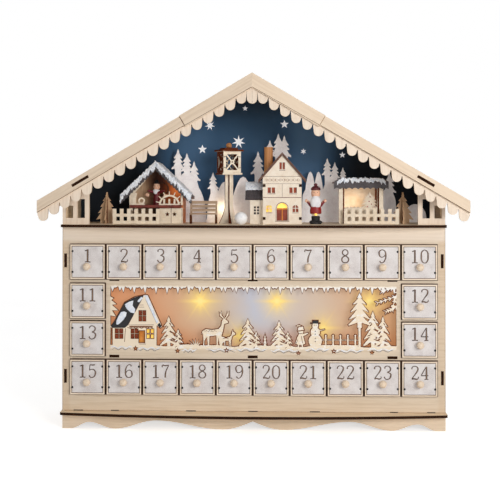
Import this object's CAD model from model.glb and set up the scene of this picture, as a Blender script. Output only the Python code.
"""Wooden advent calendar: wood, print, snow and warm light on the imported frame."""
from __future__ import annotations

import logging
import math
from dataclasses import dataclass, field
from enum import Enum
from typing import Callable, Sequence

import bpy
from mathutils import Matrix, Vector, noise


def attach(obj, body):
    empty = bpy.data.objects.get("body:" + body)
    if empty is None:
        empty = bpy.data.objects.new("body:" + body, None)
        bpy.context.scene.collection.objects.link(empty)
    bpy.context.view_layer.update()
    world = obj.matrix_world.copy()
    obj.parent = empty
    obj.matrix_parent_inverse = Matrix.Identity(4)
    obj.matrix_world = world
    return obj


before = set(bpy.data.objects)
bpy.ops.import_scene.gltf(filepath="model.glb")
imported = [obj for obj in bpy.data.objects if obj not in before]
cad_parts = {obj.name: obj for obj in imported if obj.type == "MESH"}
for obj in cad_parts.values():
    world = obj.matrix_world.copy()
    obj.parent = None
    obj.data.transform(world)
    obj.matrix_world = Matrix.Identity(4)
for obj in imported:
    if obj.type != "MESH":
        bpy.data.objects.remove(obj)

LOG = logging.getLogger("advent_calendar")
MM = 0.001
MID_Y = 32.8
ROOT = "cabinet"
# Least part of a face's normal along an axis for the face to look that way.
FACING = 0.7
# Distance of two drawers' middles, side of a drawer's front, and the foot of each row, in millimetres.
PITCH = 41.25
FRONT_SIDE = 39.0
FEET = (38.8, 81.9, 124.2, 168.0)
Point2 = tuple[float, float]
Point3 = tuple[float, float, float]
Box2 = tuple[float, float, float, float]
Socket = bpy.types.NodeSocket
Chooser = Callable[[Vector, Vector, list[Vector]], int]


def at(x: float, y: float, z: float) -> Vector:
    """Give the frame place of a point in millimetres from the panel's face, in metres."""
    return Vector((x * MM, (y - MID_Y) * MM, z * MM))


def local(point: Vector) -> Vector:
    """Give a frame point back in millimetres from the panel's face."""
    return Vector((point.x / MM, point.y / MM + MID_Y, point.z / MM))


def tint(red: float, green: float, blue: float) -> tuple[float, float, float, float]:
    """Turn a colour of 0 to 255 parts as seen on a screen into the renderer's linear one."""

    def linear(part: float) -> float:
        share = part / 255
        return share / 12.92 if share <= 0.04045 else ((share + 0.055) / 1.055) ** 2.4

    return linear(red), linear(green), linear(blue), 1.0


class Graph:
    """A material's node tree with the few steps that the finishes share."""

    def __init__(self, name: str) -> None:
        """Start a material with its plain shader."""
        self.material = bpy.data.materials.new(name)
        self.material.use_nodes = True
        self.tree = self.material.node_tree
        self.shader = self.tree.nodes["Principled BSDF"]
        self.coordinates = self.add("ShaderNodeTexCoord").outputs["Object"]

    def add(self, kind: str, **settings: object) -> bpy.types.Node:
        """Add a node with settings."""
        node = self.tree.nodes.new(kind)
        for key, value in settings.items():
            setattr(node, key, value)
        return node

    def feed(self, socket: Socket, value: object) -> None:
        """Wire a socket into another, or set its value."""
        if isinstance(value, Socket):
            self.tree.links.new(value, socket)
        else:
            socket.default_value = value

    def place(self, scale: Point3, shift: Point3 = (0, 0, 0), slope: float = 0.0) -> Socket:
        """Give the object's coordinates, turned to a slope, scaled and moved.

        Args:
            scale: repeats per metre along each axis.
            shift: place that is added after scaling.
            slope: rise of the first axis over the ground, in degrees.

        Returns:
            The mapped vector.
        """
        source = self.coordinates
        if slope:
            lean = self.add("ShaderNodeMapping")
            self.feed(lean.inputs["Vector"], source)
            lean.inputs["Rotation"].default_value = (0, math.radians(slope), 0)
            source = lean.outputs["Vector"]
        node = self.add("ShaderNodeMapping")
        self.feed(node.inputs["Vector"], source)
        node.inputs["Scale"].default_value = scale
        node.inputs["Location"].default_value = shift
        return node.outputs["Vector"]

    def axes(self) -> tuple[Socket, Socket, Socket]:
        """Give X, Y and Z in millimetres from the panel's face."""
        node = self.add("ShaderNodeSeparateXYZ")
        self.feed(node.inputs[0], self.place((1 / MM,) * 3, (0, MID_Y, 0)))
        return node.outputs[0], node.outputs[1], node.outputs[2]

    def math(self, operation: str, first: object, second: object = 0.0, clamp: bool = False) -> Socket:
        """Give the outcome of a sum of one or two values."""
        node = self.add("ShaderNodeMath", operation=operation, use_clamp=clamp)
        self.feed(node.inputs[0], first)
        self.feed(node.inputs[1], second)
        return node.outputs[0]

    def plus(self, first: object, second: object, clamp: bool = False) -> Socket:
        """Give two values added."""
        return self.math("ADD", first, second, clamp)

    def less(self, first: object, second: object) -> Socket:
        """Give the first value less the second."""
        return self.math("SUBTRACT", first, second)

    def times(self, first: object, second: object) -> Socket:
        """Give two values multiplied."""
        return self.math("MULTIPLY", first, second)

    def most(self, first: object, second: object) -> Socket:
        """Give the larger of two values."""
        return self.math("MAXIMUM", first, second)

    def far(self, value: object, middle: float = 0.0) -> Socket:
        """Give how far a value is from a middle, without a sign."""
        return self.math("ABSOLUTE", self.less(value, middle) if middle else value)

    def swing(self, value: object, reach: float) -> Socket:
        """Give a value of 0 to 1 as a swing about nought."""
        return self.times(self.less(value, 0.5), reach)

    def noise(self, vector: object, detail: float = 3.0, rough: float = 0.55) -> Socket:
        """Give a noise value over a mapped vector."""
        node = self.add("ShaderNodeTexNoise")
        self.feed(node.inputs["Vector"], vector)
        node.inputs["Scale"].default_value = 1.0
        node.inputs["Detail"].default_value = detail
        node.inputs["Roughness"].default_value = rough
        return node.outputs["Fac"]

    def speckle(self, scale: float, detail: float = 3.0, rough: float = 0.55) -> Socket:
        """Give a noise that is even each way, from its repeats per metre."""
        return self.noise(self.place((scale,) * 3), detail, rough)

    def span(self, value: object, low: float, high: float, first: float = 0.0, last: float = 1.0) -> Socket:
        """Give a value stretched from one range to another, held at its ends."""
        node = self.add("ShaderNodeMapRange", interpolation_type="SMOOTHSTEP")
        parts = {"Value": value, "From Min": low, "From Max": high, "To Min": first, "To Max": last}
        for key, part in parts.items():
            self.feed(node.inputs[key], part)
        return node.outputs["Result"]

    def inside(self, x: object, z: object, box: Box2, soft: float) -> Socket:
        """Give 1 inside a box in millimetres and 0 outside it, with a soft edge."""
        share = self.span(x, box[0] - soft, box[0] + soft)
        for side in (self.span(x, box[2] - soft, box[2] + soft, 1.0, 0.0),
                     self.span(z, box[1] - soft, box[1] + soft),
                     self.span(z, box[3] - soft, box[3] + soft, 1.0, 0.0)):
            share = self.times(share, side)
        return share

    def ramp(self, value: object, *stops: tuple[float, Point3]) -> Socket:
        """Give a colour by a value, from rising stops of place and colour of 0 to 255 parts."""
        node = self.add("ShaderNodeValToRGB")
        elements = node.color_ramp.elements
        while len(elements) < len(stops):
            elements.new(0.5)
        for element, (place, colour) in zip(elements, stops):
            element.position = place
            element.color = tint(*colour)
        self.feed(node.inputs["Fac"], value)
        return node.outputs["Color"]

    def blend(self, share: object, first: object, second: object) -> Socket:
        """Give two colours blended by a share."""
        node = self.add("ShaderNodeMix", data_type="RGBA")
        self.feed(node.inputs[0], share)
        self.feed(node.inputs[6], first)
        self.feed(node.inputs[7], second)
        return node.outputs[2]

    def relief(self, height: object, distance: float, strength: float) -> None:
        """Let a height raise the surface, in metres."""
        node = self.add("ShaderNodeBump")
        node.inputs["Distance"].default_value = distance
        node.inputs["Strength"].default_value = strength
        self.feed(node.inputs["Height"], height)
        self.feed(self.shader.inputs["Normal"], node.outputs["Normal"])

    def colour(self, value: object) -> None:
        """Set the surface's colour."""
        self.feed(self.shader.inputs["Base Color"], value)

    def shine(self, rough: object, gloss: float) -> None:
        """Set how rough the surface is, and its plain reflection."""
        self.feed(self.shader.inputs["Roughness"], rough)
        self.shader.inputs["Specular IOR Level"].default_value = gloss

    def sheen(self, value: object, low: float, high: float, gloss: float) -> None:
        """Set the roughness to follow a noise, and the plain reflection."""
        self.shine(self.span(value, 0.3, 0.7, low, high), gloss)

    def glow(self, colour: object, strength: float) -> None:
        """Let the surface shine by itself."""
        self.feed(self.shader.inputs["Emission Color"], colour)
        self.shader.inputs["Emission Strength"].default_value = strength


class Grain(Enum):
    """The way that the grain of a board runs."""

    ALONG_X = (22.0, 420.0, 420.0)
    ALONG_Y = (420.0, 22.0, 420.0)
    ALONG_Z = (420.0, 420.0, 22.0)


@dataclass(frozen=True)
class Wood:
    """Bare plywood with soft grain, fine pores and faint clouds."""

    name: str
    pale: Point3
    deep: Point3
    grain: Grain = Grain.ALONG_X
    depth: float = 1.0
    slope: float = 0.0

    def board(self, graph: Graph) -> tuple[Socket, Socket]:
        """Wire the wood's colour and height.

        Args:
            graph: the material that gets them.

        Returns:
            The colour and the height of the grain.
        """
        lines = graph.noise(graph.place(self.grain.value, slope=self.slope), 5.0, 0.6)
        finer = tuple(4.5 * s for s in self.grain.value)
        fine = graph.noise(graph.place(finer, slope=self.slope), 2.0, 0.5)
        cloud = graph.noise(graph.place((14.0, 14.0, 14.0)), 2.0)
        streak = graph.ramp(lines, (0.3, self.deep), (0.56, self.pale), (0.8, self.pale))
        shade = graph.span(cloud, 0.35, 0.7, 0.0, 0.35 * self.depth)
        clouded = graph.blend(shade, streak, tint(*self.deep))
        pores = graph.span(fine, 0.24, 0.38, 0.28 * self.depth, 0.0)
        return graph.blend(pores, clouded, tint(*(0.72 * c for c in self.deep))), graph.plus(lines, fine)

    def make(self) -> bpy.types.Material:
        """Make the material."""
        graph = Graph(self.name)
        colour, height = self.board(graph)
        graph.colour(colour)
        graph.relief(height, 0.00012, 0.35)
        graph.shine(graph.span(height, 0.6, 1.4, 0.5, 0.68), 0.35)
        return graph.material


@dataclass(frozen=True)
class Scorched:
    """A laser-cut edge: burnt brown with upright scorch marks."""

    name: str
    pale: Point3 = (104, 58, 28)
    deep: Point3 = (44, 20, 8)

    def make(self) -> bpy.types.Material:
        """Make the material."""
        graph = Graph(self.name)
        marks = graph.noise(graph.place((900.0, 260.0, 900.0)), 4.0)
        graph.colour(graph.ramp(marks, (0.32, self.deep), (0.7, self.pale)))
        graph.relief(marks, 0.00015, 0.5)
        graph.sheen(marks, 0.7, 0.88, 0.1)
        return graph.material


@dataclass(frozen=True)
class Paint:
    """Matt paint or print on wood: a little cloudy, with a fine tooth and worn specks."""

    name: str
    main: Point3
    second: Point3
    grit: float = 1400.0
    rough: float = 0.6
    glow: float = 0.0

    def make(self) -> bpy.types.Material:
        """Make the material."""
        graph = Graph(self.name)
        cloud = graph.speckle(160.0, 3.0)
        tooth = graph.speckle(self.grit, 3.0, 0.6)
        share = graph.plus(graph.times(cloud, 0.6), graph.times(tooth, 0.4))
        colour = graph.ramp(share, (0.34, self.second), (0.6, self.main))
        graph.colour(colour)
        graph.relief(tooth, 0.0001, 0.4)
        graph.sheen(tooth, self.rough - 0.08, self.rough + 0.08, 0.4)
        if self.glow:
            graph.glow(colour, self.glow)
        return graph.material


@dataclass(frozen=True)
class Snow:
    """Crumbly snow: white grains over a cold blue shade."""

    name: str
    cold: Point3 = (152, 168, 192)
    white: Point3 = (246, 249, 254)

    def make(self) -> bpy.types.Material:
        """Make the material."""
        graph = Graph(self.name)
        lump = graph.speckle(520.0, 4.0, 0.65)
        grain = graph.speckle(2600.0, 2.0)
        share = graph.plus(graph.times(lump, 0.7), graph.times(grain, 0.3))
        graph.colour(graph.ramp(share, (0.33, self.cold), (0.52, self.white)))
        graph.relief(share, 0.0004, 0.8)
        graph.sheen(grain, 0.45, 0.7, 0.45)
        return graph.material


@dataclass(frozen=True)
class DrawerPrint:
    """A drawer front: a pale bare rim, a thin scorched line and a cool speckled field."""

    name: str
    line_in: float = 1.95
    line_w: float = 0.42

    def reach(self, graph: Graph) -> Socket:
        """Give the distance from the middle of the nearest front, square as the front is."""
        x, _, z = graph.axes()
        turns = graph.plus(graph.math("DIVIDE", x, PITCH), 5.0)
        across = graph.swing(graph.math("FRACT", turns), PITCH)
        up = graph.less(z, FEET[0] + FRONT_SIDE / 2)
        for low, high in zip(FEET, FEET[1:]):
            over = graph.math("GREATER_THAN", z, high - 1.6)
            up = graph.less(up, graph.times(over, high - low))
        return graph.most(graph.far(across), graph.far(up))

    def make(self) -> bpy.types.Material:
        """Make the material."""
        graph = Graph(self.name)
        rim, height = Wood("rim", (245, 229, 208), (228, 206, 180)).board(graph)
        grit = graph.speckle(1500.0, 3.0, 0.7)
        cloud = graph.speckle(90.0, 2.0)
        share = graph.plus(graph.times(grit, 0.6), graph.times(cloud, 0.4))
        field_colour = graph.ramp(share, (0.36, (196, 188, 186)), (0.5, (220, 214, 212)),
                                  (0.66, (233, 229, 228)))
        far = self.reach(graph)
        rim_out = FRONT_SIDE / 2
        edge = rim_out - self.line_in
        on_field = graph.span(far, edge - 0.12, edge + 0.02, 1.0, 0.0)
        wobble = graph.swing(graph.speckle(120.0), 0.35)
        off_line = graph.far(graph.plus(far, wobble), edge)
        on_line = graph.span(off_line, self.line_w * 0.55, self.line_w * 1.25, 0.95, 0.0)
        scorch = graph.span(far, rim_out - 0.45, rim_out, 0.0, 0.75)
        colour = graph.blend(on_field, rim, field_colour)
        colour = graph.blend(on_line, colour, tint(92, 64, 46))
        graph.colour(graph.blend(scorch, colour, tint(104, 66, 36)))
        graph.relief(graph.less(height, graph.times(on_line, 2.0)), 0.00012, 0.4)
        graph.sheen(grit, 0.5, 0.66, 0.35)
        return graph.material


@dataclass(frozen=True)
class PanelPrint:
    """The front panel: tan board, scorched round the drawers, cream and snowy in the picture.

    The slit is the scorched gap round a drawer. The head, flanks and ends are where the board's top,
    its strips beside the drawers and its scorched ends begin and are full, in millimetres.
    """

    name: str
    slit: float = 0.9
    head: Point2 = (208.0, 214.0)
    flanks: Point2 = (204.0, 209.0)
    ends: Point2 = (213.2, 214.4)
    bays: Point2 = (165.1, 206.1)
    picture: Box2 = (-160.3, 90.0, 160.3, 160.6)
    icicles: Box2 = (-160.2, 148.0, 160.2, 159.6)
    cottage: Box2 = (-161.0, 88.0, -104.0, 151.0)

    def make(self) -> bpy.types.Material:
        """Make the material."""
        graph = Graph(self.name)
        tan, height = Wood("tan", (226, 208, 185), (210, 189, 162), Grain.ALONG_X, 0.7).board(graph)
        x, _, z = graph.axes()
        side = graph.far(x)
        dark = 0.0
        for foot, start in zip(FEET, (-1000, self.bays[0], self.bays[0], -1000)):
            row = (start, foot - self.slit, self.bays[1], foot + FRONT_SIDE + self.slit)
            dark = graph.most(dark, graph.inside(side, z, row, 0.25))
        wobble = graph.swing(graph.speckle(300.0), 2.4)
        cream = graph.inside(x, graph.plus(z, wobble), self.picture, 0.9)
        teeth = graph.inside(x, z, self.icicles, 0.7)
        tops = graph.noise(graph.place((120.0, 120.0, 260.0)), 3.0, 0.6)
        cottage = graph.inside(x, z, self.cottage, 0.6)
        drifts = graph.times(graph.span(tops, 0.52, 0.6, 0.0, 0.8), graph.less(1.0, cottage))
        snow = graph.most(teeth, graph.times(cream, drifts))
        band = graph.span(z, *self.head, 0.0, 0.5)
        sides = graph.times(graph.span(side, *self.flanks, 0.0, 0.3), graph.span(z, *self.head, 1.0, 0.0))
        tan = graph.blend(sides, graph.blend(band, tan, tint(236, 222, 208)), tint(206, 174, 138))
        print_colour = graph.blend(cream, tan, tint(243, 226, 201))
        print_colour = graph.blend(snow, print_colour, tint(246, 241, 234))
        edge = graph.span(side, *self.ends, 0.0, 0.5)
        colour = graph.blend(dark, print_colour, tint(66, 41, 24))
        graph.colour(graph.blend(edge, colour, tint(120, 84, 50)))
        graph.relief(height, 0.00012, 0.35)
        graph.shine(graph.span(height, 0.6, 1.4, 0.5, 0.66), 0.35)
        return graph.material


@dataclass(frozen=True)
class NightSky:
    """The printed sky: deep blue in the middle, near black at the sides, in upright strokes."""

    name: str

    def make(self) -> bpy.types.Material:
        """Make the material."""
        graph = Graph(self.name)
        x, _, z = graph.axes()
        strokes = graph.noise(graph.place((210.0, 210.0, 9.0)), 4.0, 0.6)
        cloud = graph.noise(graph.place((16.0, 16.0, 10.0)), 3.0)
        off = graph.less(x, 4.0)
        far = graph.most(off, graph.times(off, -0.8))
        share = graph.span(far, 68.0, 126.0, 1.0, 0.0)
        share = graph.times(share, graph.span(z, 390.0, 325.0, 0.2, 1.0))
        share = graph.plus(share, graph.swing(strokes, 0.06))
        share = graph.plus(share, graph.swing(cloud, 0.35), clamp=True)
        night = graph.ramp(share, (0.0, (36, 42, 50)), (0.4, (46, 63, 82)), (0.75, (57, 86, 116)),
                           (1.0, (61, 91, 122)))
        for middle, reach, most in ((66.0, 36.0, 0.5), (-76.0, 34.0, 0.2)):
            haze = graph.span(graph.far(x, middle), 8.0, reach, most, 0.0)
            night = graph.blend(haze, night, tint(104, 142, 182))
        graph.colour(night)
        graph.relief(strokes, 0.0001, 0.3)
        graph.sheen(strokes, 0.6, 0.75, 0.1)
        return graph.material


@dataclass(frozen=True)
class LitScreen:
    """The printed screen with the lamps' warm spots and rays shining through it."""

    name: str
    half_w: float = 163.5
    lamps: tuple[Point3, ...] = (
        (-59.8, 142.2, 1.0), (27.0, 142.5, 0.95), (131.0, 142.4, 0.85),
        (-14.0, 103.4, 0.8), (79.0, 112.6, 0.75))

    def star(self, graph: Graph, x: object, z: object, lamp: Point3) -> Socket:
        """Give one lamp's glow: a round spot and four thin rays.

        Args:
            graph: the material.
            x: place across in millimetres.
            z: height in millimetres.
            lamp: place, height and strength.

        Returns:
            The glow's share.
        """
        off_x = graph.far(x, lamp[0])
        off_z = graph.far(z, lamp[1])
        far = graph.math("SQRT", graph.plus(graph.times(off_x, off_x), graph.times(off_z, off_z)))
        slant = graph.far(graph.less(graph.times(off_x, 1.5), off_z))
        total = graph.times(graph.math("POWER", graph.span(far, 0.0, 38.0, 1.0, 0.0), 2.2), 0.6)
        total = graph.plus(total, graph.span(far, 0.0, 14.0, 0.34, 0.0))
        rays = ((off_x, 4.0, 34.0, 0.34, off_z, 3.4), (off_z, 4.0, 20.0, 0.16, off_x, 3.4),
                (far, 6.0, 34.0, 0.14, slant, 3.6))
        for along, start, end, most, off, thick in rays:
            length = graph.span(along, start, end, most, 0.0)
            total = graph.plus(total, graph.times(length, graph.span(off, 0.0, thick, 1.0, 0.0)))
        return graph.times(total, lamp[2])

    def make(self) -> bpy.types.Material:
        """Make the material."""
        graph = Graph(self.name)
        x, _, z = graph.axes()
        cloud = graph.noise(graph.place((14.0, 14.0, 22.0)), 3.0, 0.6)
        grit = graph.speckle(1200.0, 2.0)
        across = graph.span(x, -self.half_w, self.half_w)
        across = graph.plus(across, graph.swing(cloud, 0.16), clamp=True)
        base = graph.ramp(across, (0.0, (214, 148, 104)), (0.17, (206, 163, 128)), (0.34, (204, 180, 154)),
                          (0.5, (188, 188, 198)), (0.66, (200, 188, 182)), (0.82, (206, 182, 160)),
                          (1.0, (206, 156, 112)))
        low = graph.span(z, 92.0, 120.0, 0.5, 0.0)
        base = graph.blend(low, base, tint(196, 118, 66))
        total = 0.0
        for lamp in self.lamps:
            total = graph.plus(total, self.star(graph, x, z, lamp))
        warm = graph.blend(graph.math("MINIMUM", total, 1.0), base, tint(252, 218, 122))
        warm = graph.blend(graph.span(total, 0.7, 1.4, 0.0, 0.8), warm, tint(255, 232, 150))
        graph.colour(graph.blend(0.55, warm, tint(0, 0, 0)))
        graph.glow(warm, 0.62)
        graph.relief(grit, 0.00006, 0.3)
        graph.sheen(grit, 0.42, 0.58, 0.35)
        return graph.material


@dataclass(frozen=True)
class HutInside:
    """The workshop's inner walls: cream at the left, dark brown in the middle, lit orange at the right."""

    name: str
    middle: float = -112.3

    def make(self) -> bpy.types.Material:
        """Make the material."""
        graph = Graph(self.name)
        x, _, z = graph.axes()
        cloud = graph.noise(graph.place((60.0, 60.0, 140.0)), 3.0)
        streak = graph.noise(graph.place((500.0, 500.0, 60.0)), 3.0)
        off = graph.plus(graph.less(x, self.middle), graph.swing(cloud, 9.0))
        share = graph.span(off, -30.0, 30.0)
        colour = graph.ramp(share, (0.0, (214, 184, 150)), (0.2, (190, 150, 116)), (0.38, (86, 48, 34)),
                            (0.58, (112, 56, 32)), (0.8, (196, 108, 56)), (1.0, (206, 124, 70)))
        dark = graph.span(z, 268.0, 292.0, 0.0, 0.6)
        colour = graph.blend(dark, colour, tint(70, 38, 26))
        graph.colour(graph.blend(graph.span(streak, 0.3, 0.6, 0.25, 0.0), colour, tint(60, 32, 20)))
        graph.relief(streak, 0.0001, 0.4)
        graph.sheen(streak, 0.5, 0.7, 0.3)
        return graph.material


@dataclass(frozen=True)
class Moulded:
    """Moulded plastic with a fine spark-eroded texture."""

    name: str
    main: Point3
    rough: float = 0.45

    def make(self) -> bpy.types.Material:
        """Make the material."""
        graph = Graph(self.name)
        grit = graph.speckle(2400.0, 2.0)
        cloud = graph.speckle(50.0, 2.0)
        graph.colour(graph.ramp(cloud, (0.3, tuple(0.86 * c for c in self.main)), (0.7, self.main)))
        graph.relief(grit, 0.00005, 0.5)
        graph.sheen(grit, self.rough - 0.06, self.rough + 0.08, 0.5)
        return graph.material


class Coat(Enum):
    """Every finish of the calendar by its maker's name."""

    PALE_PLY = Wood("pale_ply", (238, 221, 198), (220, 198, 170))
    TAN_PLY = Wood("tan_ply", (224, 203, 176), (206, 182, 152))
    APRON = Wood("apron_ply", (234, 214, 190), (214, 192, 164))
    ROOF_PLY = Wood("roof_ply", (238, 220, 197), (218, 197, 171), Grain.ALONG_Y)
    BASE_PLY = Wood("base_ply", (250, 226, 194), (230, 202, 166))
    TREE = Wood("tree_ply", (208, 174, 138), (176, 140, 106), Grain.ALONG_Z)
    TAN_DEEP = Wood("tan_ply_deep", (222, 198, 166), (198, 170, 134), Grain.ALONG_Y)
    INNER_PLY = Wood("inner_ply", (208, 178, 140), (180, 146, 106), Grain.ALONG_Y)
    FASCIA = Wood("fascia_ply", (238, 219, 196), (223, 202, 178), Grain.ALONG_X, 0.6)
    FASCIA_LEFT = Wood("fascia_ply_left", (225, 205, 182), (210, 188, 163), Grain.ALONG_X, 0.5, 30.5)
    FASCIA_RIGHT = Wood("fascia_ply_right", (233, 212, 187), (222, 199, 173), Grain.ALONG_X, 0.4, -30.5)
    SCALLOP = Wood("scallop_ply", (240, 223, 204), (226, 206, 185), Grain.ALONG_Z, 0.7)
    KNOB = Wood("turned_knob", (240, 221, 198), (221, 196, 168), Grain.ALONG_Y, 0.8)
    CHIMNEY = Wood("chimney_dowel", (206, 150, 98), (172, 112, 66), Grain.ALONG_Z, 1.2)
    BURNT = Scorched("scorched_edge")
    CHAR = Scorched("charred_edge", (62, 34, 16), (24, 12, 5))
    RUST = Scorched("rust_edge", (124, 62, 34), (78, 34, 18))
    SEAM = Scorched("faint_seam", (176, 140, 104), (140, 104, 72))
    RIM = Scorched("picture_rim", (134, 78, 46), (86, 44, 26))
    DRAWER = DrawerPrint("drawer_print")
    PANEL = PanelPrint("panel_print")
    SKY = NightSky("night_sky")
    SCREEN = LitScreen("lit_screen")
    SNOW = Snow("crumbly_snow")
    BALL = Snow("packed_snow", (228, 230, 236), (252, 252, 253))
    WHITE = Paint("white_paint", (246, 245, 245), (226, 225, 229))
    STAR = Paint("star_white", (246, 246, 248), (226, 228, 234), 900.0, 0.5, 0.35)
    HILL = Paint("hill_white", (243, 239, 238), (226, 220, 220), 700.0, 0.6, 0.15)
    CREAM = Paint("cream_paint", (243, 230, 209), (226, 207, 181))
    HOUSE = Paint("house_cream", (246, 234, 217), (232, 215, 193), 900.0)
    INK = Paint("digit_ink", (74, 50, 37), (42, 27, 20), 2600.0)
    INK_FILL = Paint("digit_fill", (150, 124, 104), (104, 82, 68), 2600.0)
    BLACK = Paint("black_paint", (24, 22, 25), (12, 11, 13), 1200.0, 0.6)
    PRINT_SNOW = Paint("printed_snow", (240, 243, 248), (204, 213, 230), 420.0)
    SHINGLE = Paint("shingle_grey", (84, 78, 80), (52, 48, 52), 900.0)
    ROOF_BROWN = Paint("roof_brown", (108, 72, 54), (70, 44, 32), 800.0)
    HUT_WOOD = Paint("hut_orange", (168, 92, 48), (112, 52, 26), 500.0)
    HUT_IN = HutInside("hut_inside")
    COUNTER = Paint("counter_red", (120, 48, 34), (78, 28, 20), 700.0)
    RED = Paint("coat_red", (168, 34, 32), (120, 20, 22), 1500.0, 0.42)
    DARK_RED = Paint("coat_dark_red", (122, 26, 34), (84, 16, 24), 1500.0, 0.42)
    BENCH = Wood("bench_wood", (186, 160, 134), (150, 122, 98))
    SKIN = Paint("skin", (242, 196, 166), (228, 174, 142), 2200.0, 0.5)
    HAT = Paint("hat_brown", (96, 34, 40), (60, 20, 24), 1800.0, 0.5)
    PANE = Paint("red_pane", (170, 72, 34), (120, 40, 20), 900.0, 0.35, 0.25)
    LEAF = Paint("door_leaf", (150, 58, 28), (104, 34, 18), 900.0, 0.4, 0.12)
    PANE_DARK = Paint("dark_pane", (60, 38, 32), (34, 22, 20), 900.0, 0.35)
    LIT = Paint("lit_pane", (255, 218, 110), (250, 186, 62), 400.0, 0.4, 0.8)
    DOOR = Paint("orange_door", (226, 146, 62), (198, 112, 38), 700.0, 0.5, 0.15)
    STALL_IN = Paint("stall_lit", (238, 222, 200), (228, 204, 172), 120.0, 0.5, 0.18)
    LAMP = Paint("lamp_glow", (255, 226, 150), (255, 206, 112), 300.0, 0.25, 1.2)
    GREY_LINE = Paint("grey_line", (140, 136, 138), (108, 104, 108), 2000.0)
    GREY_PLASTIC = Moulded("grey_plastic", (58, 58, 60))
    BLACK_PLASTIC = Moulded("black_plastic", (24, 24, 26))
    CELL = Moulded("cell_wrap", (92, 84, 66), 0.3)


class PaintShelf:
    """Keeps each finish's material once it is made."""

    def __init__(self) -> None:
        """Start with an empty shelf."""
        self.made: dict[Coat, bpy.types.Material] = {}

    def take(self, coat: Coat) -> bpy.types.Material:
        """Give a finish's material, made at its first use."""
        if coat not in self.made:
            self.made[coat] = coat.value.make()
        return self.made[coat]


SHELF = PaintShelf()


def dress(node: str, coats: Sequence[Coat], choose: Chooser | None = None) -> None:
    """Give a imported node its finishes, face by face.

    Args:
        node: the node's name.
        coats: its finishes.
        choose: gives a finish's number from a face's middle, normal and corners, in millimetres.
    """
    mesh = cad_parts[node].data
    mesh.materials.clear()
    for coat in coats:
        mesh.materials.append(SHELF.take(coat))
    for face in mesh.polygons:
        corners = [local(mesh.vertices[i].co) for i in face.vertices] if choose else []
        face.material_index = choose(local(face.center), face.normal, corners) if choose else 0


def faces_and_edges(axis: int) -> Chooser:
    """Give a rule that sets a board's two faces apart from its cut edges."""
    return lambda middle, normal, corners: 0 if abs(normal[axis]) > FACING else 1


def deselect() -> None:
    """Leave edit mode and select nothing."""
    if bpy.context.object and bpy.context.object.mode != "OBJECT":
        bpy.ops.object.mode_set(mode="OBJECT")
    bpy.ops.object.select_all(action="DESELECT")


def finished(piece: bpy.types.Object, name: str, coats: Sequence[Coat], body: str) -> bpy.types.Object:
    """Name a piece, coat it, and let it ride a body.

    Args:
        piece: the piece.
        name: its name.
        coats: its finishes, in the order of its material numbers.
        body: the body it moves with.

    Returns:
        The same piece.
    """
    piece.name = name
    piece.data.name = name
    slots = piece.data.materials
    for number, coat in enumerate(coats):
        if number == len(slots):
            slots.append(None)
        slots[number] = SHELF.take(coat)
    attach(piece, body)
    return piece


def fixed(piece: bpy.types.Object, name: str, slot: str, *coats: Coat) -> None:
    """Name and coat a piece that stays with the cabinet."""
    finished(piece, name, coats, ROOT)


def cut_board(outline: Sequence[Point2], front: float, depth: float) -> bpy.types.Object:
    """Saw a board that faces the front from an outline.

    Args:
        outline: corners as place and height in millimetres.
        front: where its front face lies.
        depth: its thickness.

    Returns:
        The board.
    """
    deselect()
    bpy.ops.mesh.primitive_circle_add(vertices=len(outline), fill_type="NGON", location=(0, 0, 0))
    board = bpy.context.object
    for corner, (x, z) in zip(board.data.vertices, outline):
        corner.co = at(x, front, z)
    bpy.ops.object.mode_set(mode="EDIT")
    bpy.ops.mesh.select_all(action="SELECT")
    bpy.ops.mesh.extrude_region_move(TRANSFORM_OT_translate={"value": (0, depth * MM, 0)})
    bpy.ops.mesh.select_all(action="SELECT")
    bpy.ops.mesh.normals_make_consistent(inside=False)
    bpy.ops.object.mode_set(mode="OBJECT")
    return board


def block(low: Point3, high: Point3, chamfer: float) -> bpy.types.Object:
    """Plane a small block between two corners and break its edges."""
    deselect()
    bpy.ops.mesh.primitive_cube_add(size=1, location=(0, 0, 0))
    piece = bpy.context.object
    for corner in piece.data.vertices:
        corner.co = at(*[low[i] if corner.co[i] < 0 else high[i] for i in range(3)])
    return chamfered(piece, chamfer)


def chamfered(piece: bpy.types.Object, width: float, segments: int = 2) -> bpy.types.Object:
    """Round a piece's sharp edges with an applied bevel."""
    bevel = piece.modifiers.new("edges", "BEVEL")
    bevel.width = width * MM
    bevel.segments = segments
    bevel.limit_method = "ANGLE"
    bevel.angle_limit = math.radians(40)
    bpy.context.view_layer.objects.active = piece
    bpy.ops.object.modifier_apply(modifier=bevel.name)
    return piece


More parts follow.
